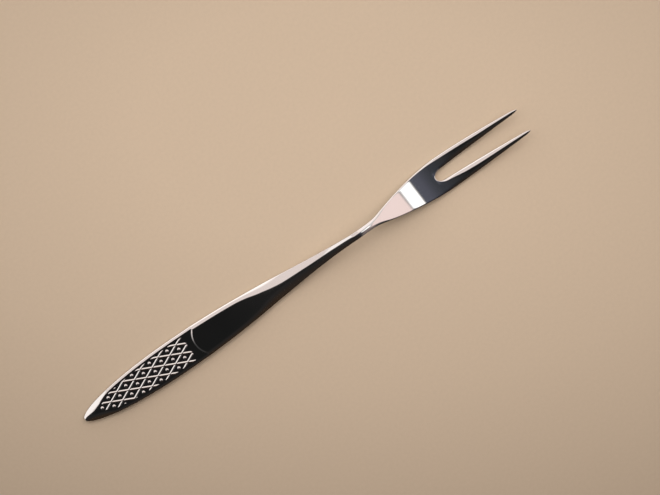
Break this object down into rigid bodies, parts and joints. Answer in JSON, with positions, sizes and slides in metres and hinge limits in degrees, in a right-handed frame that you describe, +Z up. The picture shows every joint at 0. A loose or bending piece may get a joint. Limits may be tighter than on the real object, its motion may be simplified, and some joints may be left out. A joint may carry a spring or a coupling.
{
  "type": "meat fork",
  "caption": "Slender tined fork for serving sliced meat, polished stainless steel in one piece, with a narrow arched neck and a leaf-shaped handle that has a sunk ornamental panel.",
  "frame": {"origin": "middle of the fork's length and width, on the surface that it rests on", "axes": "+X along the fork from the handle's end to the tips, +Z up from the surface, +Y across"},
  "size_m": [0.2194, 0.015, 0.0094],
  "materials": {
    "polished_steel": "stainless steel, mirror polished, with fine handling scratches"
  },
  "bodies": {
    "root": {"meat_fork": "polished_steel"}
  },
  "joints": []
}
